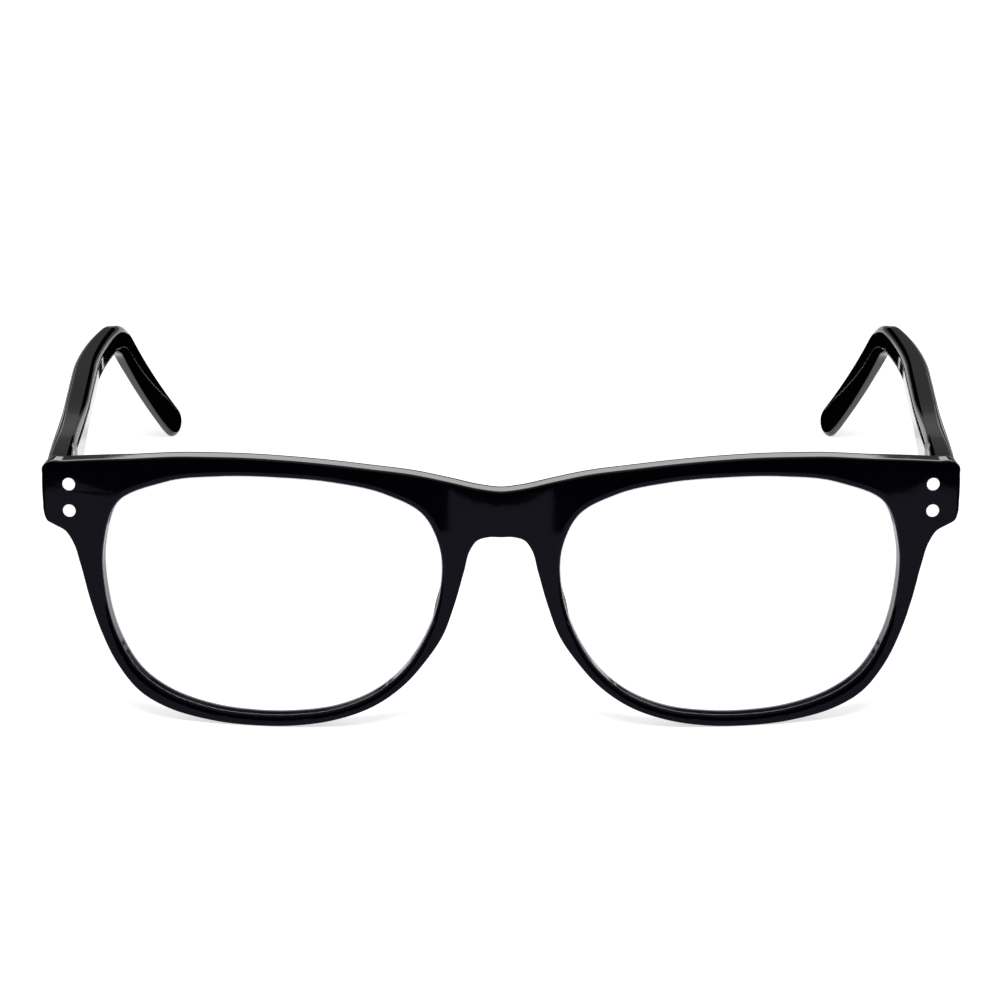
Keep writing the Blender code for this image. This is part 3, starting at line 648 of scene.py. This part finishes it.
def make_lens(name, side):
    blank = flat_plate([spread_loop(opening_loop(1), LENS_SEAT)], LENS_THICKNESS, (LENS_BEVEL,) * 4, 1)
    placed(blank, Matrix.Translation((0, FRONT_THICKNESS / 2, 0)))
    bend_to_face_form(blank)
    lens = finished(f"lens_pane_{name}", blank, FRONT_MOVE, LENS, side, 20.0)
    lens.data.materials.append(LENS_EDGE)
    facing = (FRONT_MOVE.to_3x3() @ Vector((0, 1, 0)))
    for face in lens.data.polygons:
        face.material_index = 1 if abs(face.normal @ facing) < 0.9 else 0
    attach(lens, "front")
    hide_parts(f"lens_{name}")


def make_nose_pad(name, side):
    pad = bmesh.new()
    bmesh.ops.create_uvsphere(pad, u_segments=48, v_segments=32, radius=1.0)
    bmesh.ops.scale(pad, verts=pad.verts, vec=(PAD_WIDTH / 2, PAD_DEPTH, PAD_LENGTH / 2))
    geom = pad.verts[:] + pad.edges[:] + pad.faces[:]
    bmesh.ops.bisect_plane(pad, geom=geom, plane_co=(0, 0, 0), plane_no=(0, 1, 0), clear_inner=True,
                           dist=WELD / 10)
    bmesh.ops.holes_fill(pad, edges=pad.edges)
    placed(pad, Matrix.Rotation(-PAD_SLANT, 4, "Y"),
           Matrix.Translation((PAD_CENTRE[0], FRONT_THICKNESS, PAD_CENTRE[1])))
    for vert in pad.verts:
        vert.co = bent_point(vert.co)
    piece = finished(f"pad_{name}", pad, FRONT_MOVE, ACETATE, side)
    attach(piece, "front")
    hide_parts(f"nose_pad_{name}")


# ---------------------------------------------------------------- hinge pieces

def barrel(index):
    """One knuckle round the hinge's axis, with its edges broken."""
    low = -STACK_HALF + index * (KNUCKLE_LENGTH + KNUCKLE_GAP)
    high = low + KNUCKLE_LENGTH
    r, bore, edge = KNUCKLE_RADIUS, SCREW_RADIUS, LEAF_EDGE
    return turned([(bore, high), (r - edge, high), (r, high - edge), (r, low + edge), (r - edge, low),
                   (bore, low), (bore, high)]), low, high


def make_leaf(plate, indices, web_low, web_high):
    pieces = [plate]
    for index in indices:
        knuckle, low, high = barrel(index)
        web = block((*web_low, low + LEAF_EDGE / 2), (*web_high, high - LEAF_EDGE / 2))
        bore = turned([(0, high), (SCREW_RADIUS, high), (SCREW_RADIUS, low), (0, low)])
        pieces.append(knuckle)
        pieces.append(cut(web, [bore]))
    return gathered(pieces)


def make_hinge(name, side):
    half = STACK_HALF
    plate = block((FRONT_LEAF_REACH[0], -HINGE_STAND_OFF - LEAF_THICKNESS, -half),
                  (FRONT_LEAF_REACH[1], -HINGE_STAND_OFF, half), LEAF_EDGE)
    leaf = make_leaf(plate, range(0, KNUCKLE_COUNT, 2),
                     (-WEB_HALF_WIDTH, -HINGE_STAND_OFF - LEAF_THICKNESS / 2),
                     (WEB_HALF_WIDTH, -KNUCKLE_RADIUS / 3))
    front_leaf = finished(f"front_leaf_{name}", leaf, HINGE_MOVE, HINGE, side)
    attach(front_leaf, "front")
    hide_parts(f"hinge_front_leaf_{name}")

    plate = block((HINGE_STAND_OFF, TEMPLE_LEAF_REACH[0], -half),
                  (HINGE_STAND_OFF + LEAF_THICKNESS, TEMPLE_LEAF_REACH[1], half), LEAF_EDGE)
    leaf = make_leaf(plate, range(1, KNUCKLE_COUNT, 2), (KNUCKLE_RADIUS / 3, -WEB_HALF_WIDTH),
                     (HINGE_STAND_OFF + LEAF_THICKNESS / 2, WEB_HALF_WIDTH))
    temple_leaf = finished(f"temple_leaf_{name}", leaf, FOLD_MOVE, HINGE, side)
    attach(temple_leaf, f"temple_{name}")
    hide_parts(f"hinge_temple_leaf_{name}")

    top = half + SCREW_HEAD_HEIGHT
    edge = LEAF_EDGE
    screw = turned([(0, top), (SCREW_HEAD_RADIUS * 0.6, top), (SCREW_HEAD_RADIUS - edge, top - edge),
                    (SCREW_HEAD_RADIUS, top - SCREW_HEAD_HEIGHT / 2), (SCREW_HEAD_RADIUS, half),
                    (SCREW_RADIUS, half), (SCREW_RADIUS, edge - half), (SCREW_RADIUS - edge, -half),
                    (0, -half)])
    reach = SCREW_HEAD_RADIUS * 2
    slot = block((-reach, -SCREW_SLOT / 2, top - SCREW_HEAD_HEIGHT / 2), (reach, SCREW_SLOT / 2, top * 2))
    pin = finished(f"screw_{name}", cut(screw, [slot]), HINGE_MOVE, HINGE, side)
    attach(pin, "front")
    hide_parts(f"hinge_screw_{name}")


def make_rivets(name, side):
    back = -HINGE_STAND_OFF - FRONT_THICKNESS
    for row, rise in zip(("upper", "lower"), FRONT_RIVET_RISES):
        place = Matrix.Translation((FRONT_RIVET_OUTSET, back, rise))
        rivet = finished(f"front_rivet_head_{name}_{row}", rivet_head(), HINGE_MOVE @ place @ Y_UP,
                         RIVET, side)
        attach(rivet, "front")
        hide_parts(f"front_rivet_{name}_{row}")
    outside = HINGE_STAND_OFF + TEMPLE_THICKNESS
    for row, rise in (("upper", TEMPLE_RIVET_RISE), ("lower", -TEMPLE_RIVET_RISE)):
        place = Matrix.Translation((outside, TEMPLE_RIVET_SETBACK, rise))
        rivet = finished(f"temple_rivet_head_{name}_{row}", rivet_head(), FOLD_MOVE @ place @ FACING_OUT,
                         RIVET, side)
        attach(rivet, f"temple_{name}")
        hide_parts(f"temple_rivet_{name}_{row}")


# ---------------------------------------------------------------- temples

def temple_length():
    return TEMPLE_STRAIGHT + TEMPLE_BEND_RADIUS * TEMPLE_BEND_ANGLE + TEMPLE_TIP_LENGTH


def temple_run():
    """How far back of the hinge the temple's tip lies."""
    after = TEMPLE_BEND_RADIUS * math.sin(TEMPLE_BEND_ANGLE)
    return TEMPLE_STRAIGHT + after + TEMPLE_TIP_LENGTH * math.cos(TEMPLE_BEND_ANGLE)


def temple_drop():
    """How far below the hinge the temple's tip lies."""
    return -temple_line(temple_length())[1] + TEMPLE_TIP_HEIGHT


def temple_line(distance):
    """The middle of the temple at a distance along it: place back, place up and slope."""
    if distance <= TEMPLE_STRAIGHT:
        return distance, 0.0, 0.0
    arc = TEMPLE_BEND_RADIUS * TEMPLE_BEND_ANGLE
    turn = min((distance - TEMPLE_STRAIGHT) / TEMPLE_BEND_RADIUS, TEMPLE_BEND_ANGLE)
    beyond = max(distance - TEMPLE_STRAIGHT - arc, 0.0)
    back = TEMPLE_STRAIGHT + TEMPLE_BEND_RADIUS * math.sin(turn) + beyond * math.cos(turn)
    up = -TEMPLE_BEND_RADIUS * (1 - math.cos(turn)) - beyond * math.sin(turn)
    return back, up, turn


def ease(value):
    value = min(max(value, 0.0), 1.0)
    return value * value * (3 - 2 * value)


def temple_half_height(distance):
    slim = ease(distance / TEMPLE_TAPER_LENGTH)
    tip = ease((distance - TEMPLE_STRAIGHT) / (temple_length() - TEMPLE_STRAIGHT))
    height = TEMPLE_FRONT_HEIGHT + (TEMPLE_WAIST_HEIGHT - TEMPLE_FRONT_HEIGHT) * slim
    return (height + (TEMPLE_TIP_HEIGHT - TEMPLE_WAIST_HEIGHT) * tip) / 2


def temple_loop():
    """The temple's outline from the side, as it is before it turns in."""
    start = -2 * HINGE_STAND_OFF
    count = int((temple_length() - start) / STATION_SPACING)
    upper, lower = [], []
    for i in range(count + 1):
        distance = start + (temple_length() - start) * i / count
        back, up, slope = temple_line(distance)
        half = temple_half_height(distance)
        upper.append(Vector((back + half * math.sin(slope), up + half * math.cos(slope))))
        lower.append(Vector((back - half * math.sin(slope), up - half * math.cos(slope))))
    cap = []
    for i in range(1, 12):
        angle = math.radians(90 - 15 * i) - slope
        cap.append(Vector((back + half * math.cos(angle), up + half * math.sin(angle))))
    return upper + cap + lower[::-1]


def oval_share(point):
    """How much of its thickness the temple keeps at a point of its oval, rounded tip."""
    bend_end = TEMPLE_STRAIGHT + TEMPLE_BEND_RADIUS * TEMPLE_BEND_ANGLE
    distance = point.y
    if point.y > TEMPLE_STRAIGHT:
        lean = math.atan2(point.y - TEMPLE_STRAIGHT, TEMPLE_BEND_RADIUS + point.z)
        distance = TEMPLE_STRAIGHT + TEMPLE_BEND_RADIUS * min(lean, TEMPLE_BEND_ANGLE)
        if lean > TEMPLE_BEND_ANGLE:
            back, up, slope = temple_line(bend_end)
            distance += (point.y - back) * math.cos(slope) - (point.z - up) * math.sin(slope)
    back, up, slope = temple_line(min(distance, temple_length()))
    away = (point.y - back) * math.sin(slope) + (point.z - up) * math.cos(slope)
    across = min(abs(away) / temple_half_height(distance), 1.0)
    end = max(distance - temple_length() + TIP_ROUND_LENGTH, 0.0)
    end /= TIP_ROUND_LENGTH + temple_half_height(temple_length())
    oval = TIP_OVAL * ease((distance - OVAL_START) / (bend_end - OVAL_START))
    return math.sqrt(max(1 - oval * across ** 2 - TIP_ROUND_SHARE * min(end, 1.0) ** 2, 0.05))


def make_temple(name, side):
    slab = flat_plate([temple_loop()], TEMPLE_THICKNESS, (TEMPLE_EDGE,) * 4, TEMPLE_SEGMENTS)
    middle = HINGE_STAND_OFF + TEMPLE_THICKNESS / 2
    placed(slab, Matrix.Rotation(math.radians(90), 4, "Z"), Matrix.Translation((middle, 0, 0)))
    slice_up(slab, 1, 0.0, temple_run(), STATION_SPACING)
    slice_up(slab, 2, -temple_drop(), TEMPLE_WAIST_HEIGHT, OVAL_STEP)
    for vert in slab.verts:
        back = vert.co.y
        share = max((back - TIP_TURN_START) / (temple_run() - TIP_TURN_START), 0.0)
        slim = 1 + (TEMPLE_TIP_THICKNESS / TEMPLE_THICKNESS - 1) * share
        turn_in = TIP_TURN_IN * share ** 2 - math.tan(TEMPLE_SPLAY) * back
        vert.co.x = middle + (vert.co.x - middle) * slim * oval_share(vert.co) - turn_in
    geom = slab.verts[:] + slab.edges[:] + slab.faces[:]
    lift = Matrix.Rotation(PANTOSCOPIC_TILT, 4, "X")
    butt = lift.to_3x3() @ Matrix.Rotation(WRAP, 3, "Z") @ Vector((0, 1, 0))
    bmesh.ops.bisect_plane(slab, geom=geom, plane_co=butt * (BUTT_GAP - HINGE_STAND_OFF), plane_no=butt,
                           clear_inner=True, dist=WELD / 10)
    bmesh.ops.holes_fill(slab, edges=slab.edges)
    half = STACK_HALF + LET_IN_CLEARANCE
    recess = block((-HINGE_STAND_OFF, -4 * HINGE_STAND_OFF, -half),
                   (HINGE_STAND_OFF + LEAF_THICKNESS + LET_IN_CLEARANCE,
                    TEMPLE_LEAF_REACH[1] + LET_IN_CLEARANCE, half))
    tools = [placed(recess, lift)]
    outside = HINGE_STAND_OFF + TEMPLE_THICKNESS
    for rise in (-TEMPLE_RIVET_RISE, TEMPLE_RIVET_RISE):
        place = Matrix.Translation((outside, TEMPLE_RIVET_SETBACK, rise))
        tools.append(placed(rivet_seat(TEMPLE_THICKNESS), FACING_OUT, place, lift))
    temple = finished(f"temple_arm_{name}", cut(slab, tools), TEMPLE_MOVE, ACETATE, side)
    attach(temple, f"temple_{name}")
    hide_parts(f"temple_{name}")


# ---------------------------------------------------------------- stage

def card(name, bm, brightness, colour=(1, 1, 1)):
    """A thin card that shows only in reflections."""
    thing = as_object(name, bm)
    s = Shader(name)
    s.finish(Base_Color=(0.0, 0.0, 0.0), Roughness=1.0, Specular_IOR_Level=0.0,
             Emission_Color=colour, Emission_Strength=brightness)
    thing.data.materials.append(s.material)
    thing.visible_camera = False
    thing.visible_diffuse = False
    thing.visible_shadow = False
    thing.visible_transmission = False


def dark_card(name, low, high):
    card(name, block(low, high), 0.0)


def make_cards():
    """What the polished surfaces mirror, kept out of the camera's own sight."""
    thin = 0.1 * MM
    dark_card("dark_card_in_front", (-0.8, -0.261, 0), (0.8, -0.26, 0.7))
    dark_card("dark_cloth_in_front", (-0.8, -0.26, 0), (0.8, -0.075, thin))
    for side in (-1, 1):
        # painted shade: dark cards under the tips stand in, in reflections, for the shade on the table
        # beneath the tips
        low, high = sorted((side * 0.030, side * 0.0555))
        dark_card("dark_card_painted_shade_under_tip", (low, 0.030, 0), (high, 0.083, thin))
        low, high = sorted((side * 0.045, side * 0.0605))
        dark_card("dark_card_under_rim", (low, -0.050, 0), (high, 0.028, thin))
        low, high = sorted((side * 0.073, side * 0.5))
        card("dim_card_behind", block((low, 0.186, 0.045), (high, 0.187, 0.100)), 0.13)
        low, high = sorted((side * 0.073, side * 1.5))
        card("dim_cloth_outside", block((low, -0.075, 0), (high, 0.149, thin)), 0.1)
        low, high = sorted((side * 0.12, side * 1.5))
        card("dim_cloth_far", block((low, 0.188, 0), (high, 1.5, thin)), 0.1)
        low, high = sorted((side * 0.068, side * 0.140))
        dark_card("dark_tongue", (low, -0.259, 3 * thin), (high, -0.185, 4 * thin))
        tongue = turned([(0, thin), (0.02, thin), (0.02, 0), (0, 0)])
        placed(tongue, Matrix.Translation((side * 0.104, -0.194, 3 * thin)))
        card("dark_tongue_end", tongue, 0.0)
    dark_card("dark_card_behind", (-0.073, 0.186, 0.045), (0.073, 0.187, 0.102))
    card("bright_card_behind", block((-0.6, 0.185, 0.102), (0.6, 0.186, 0.127)), 2.5)
    card("dim_cloth_behind", block((-0.12, 0.188, 0), (0.12, 1.5, thin)), 0.9)
    dark_card("dark_cloth_between_tips", (-0.05, 0.084, 0), (0.05, 0.149, thin))

    disc = turned([(0, thin), (DISC_RADIUS, thin), (DISC_RADIUS, 0), (0, 0)])
    placed(disc, Matrix.Translation((0, DISC_CENTRE_BACK, 2 * thin)))
    card("dim_disc_on_table", disc, DIM_CARD, DIM_COLOUR)

    notched = block((-0.0185, -0.2599, 0), (0.0185, -0.2595, 0.0225))
    notch = turned([(0, 0.01), (0.025, 0.01), (0.025, -0.01), (0, -0.01)])
    placed(notch, Y_UP, Matrix.Translation((0, -0.2597, 0.0385)))
    card("notched_dim_card", cut(notched, [notch]), DIM_CARD, DIM_COLOUR)


def make_room():
    """An even white room: dim in reflections, white to the camera."""
    world = bpy.data.worlds.new("white_room")
    world.use_nodes = True
    tree = world.node_tree
    background = tree.nodes["Background"]
    background.inputs["Color"].default_value = (1, 1, 1, 1)
    path = tree.nodes.new("ShaderNodeLightPath")
    strength = ROOM_LIGHT
    for ray, seen in (("Is Glossy Ray", ROOM_IN_REFLECTIONS), ("Is Camera Ray", 1.0)):
        switch = tree.nodes.new("ShaderNodeMapRange")
        switch.inputs["To Max"].default_value = seen
        if isinstance(strength, float):
            switch.inputs["To Min"].default_value = strength
        else:
            tree.links.new(strength, switch.inputs["To Min"])
        tree.links.new(path.outputs[ray], switch.inputs["Value"])
        strength = switch.outputs["Result"]
    tree.links.new(strength, background.inputs["Strength"])
    bpy.context.scene.world = world


def make_stage():
    bm = bmesh.new()
    bmesh.ops.create_grid(bm, x_segments=1, y_segments=1, size=4.0)
    floor = as_object("table", bm)
    floor.data.materials.append(table_white())
    make_cards()
    make_room()

    lamp = bpy.data.lights.new("key_softbox", "AREA")
    lamp.shape = "RECTANGLE"
    lamp.size = 0.5
    lamp.size_y = 0.25
    lamp.energy = KEY_WATTS
    softbox = bpy.data.objects.new("key_softbox", lamp)
    softbox.location = (0, -KEY_DISTANCE * math.cos(KEY_RISE), KEY_DISTANCE * math.sin(KEY_RISE))
    softbox.rotation_euler = (math.radians(90) - KEY_RISE, 0, 0)
    softbox.visible_glossy = False
    bpy.context.scene.collection.objects.link(softbox)
    bpy.context.scene.view_settings.view_transform = "Standard"


def make_camera():
    data = bpy.data.cameras.new("camera")
    data.lens = CAMERA_LENS_MM
    data.shift_x, data.shift_y = CAMERA_SHIFT
    data.clip_end = 20.0
    camera = bpy.data.objects.new("camera", data)
    aim = Vector((0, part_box("front_frame")[0].y, AIM_HEIGHT))
    back = Vector((0, -math.cos(CAMERA_RISE), math.sin(CAMERA_RISE)))
    camera.location = aim + back * CAMERA_DISTANCE
    camera.rotation_euler = (math.radians(90) - CAMERA_RISE, 0, 0)
    bpy.context.scene.collection.objects.link(camera)
    bpy.context.scene.camera = camera


make_front()
for SIDE_NAME, SIDE in (("left", 1), ("right", -1)):
    make_lens(SIDE_NAME, SIDE)
    make_nose_pad(SIDE_NAME, SIDE)
    make_hinge(SIDE_NAME, SIDE)
    make_rivets(SIDE_NAME, SIDE)
    make_temple(SIDE_NAME, SIDE)
    core = frame["nodes"][f"temple_core_{SIDE_NAME}"]
    core.data.materials.clear()
    core.data.materials.append(HINGE)
make_stage()
make_camera()
